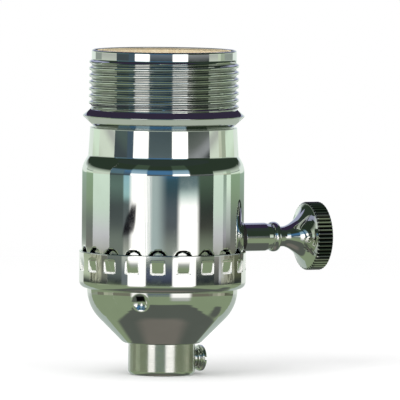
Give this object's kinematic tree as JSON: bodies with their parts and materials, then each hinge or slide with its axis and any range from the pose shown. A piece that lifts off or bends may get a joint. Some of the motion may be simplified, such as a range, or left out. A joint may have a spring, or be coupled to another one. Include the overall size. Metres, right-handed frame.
{
  "type": "rotary knob lamp socket",
  "caption": "Nickel-plated brass lamp socket with a knurled rotary knob, a threaded neck and a shade-ring thread.",
  "frame": {"origin": "centre of the threaded neck's lower face", "axes": "+Z along the socket's axis towards the lamp, +X out along the switch shaft to the knob"},
  "size_m": [0.0603, 0.0388, 0.0756],
  "materials": {
    "nickel_plate": "polished nickel plate",
    "neck_nickel": "turned nickel plate",
    "card": "plain card",
    "black_moulding": "matt moulded phenolic",
    "lamp_shell_metal": "bright drawn",
    "contact_metal": "bare brass strip",
    "fibre": "pressed fibre",
    "spring_steel": "plain steel"
  },
  "bodies": {
    "socket": {"outer_shell": "nickel_plate", "cap": "nickel_plate", "neck_hub": "neck_nickel", "shell_liner": "card", "cap_liner": "card", "screw_shell": "lamp_shell_metal", "contact_block": "black_moulding", "switch_body": "black_moulding", "centre_contact": "contact_metal", "ring_contact": "contact_metal", "centre_finger": "contact_metal", "ring_finger": "contact_metal", "contact_rivets": "contact_metal", "body_rivets": "contact_metal", "live_terminal": "contact_metal", "neutral_terminal": "contact_metal", "live_screw": "contact_metal", "neutral_screw": "contact_metal", "detent_spring": "spring_steel", "insulating_disc": "fibre"},
    "knob": {"knob": "nickel_plate", "knob_stem": "nickel_plate", "switch_shaft": "spring_steel", "switch_rotor": "black_moulding", "rotor_contact": "contact_metal", "shaft_washer": "fibre"},
    "set_screw": {"set_screw": "nickel_plate"}
  },
  "joints": [
    {"name": "knob_turn", "type": "hinge", "parent": "socket", "child": "knob", "pos_m": [0, 0, 0.0316], "axis": [1, 0, 0], "continuous": true, "deforming": ["detent_spring"]},
    {"name": "set_screw_turn", "type": "hinge", "parent": "socket", "child": "set_screw", "pos_m": [0, 0, 0.0036], "axis": [1, 0, 0], "continuous": true}
  ]
}
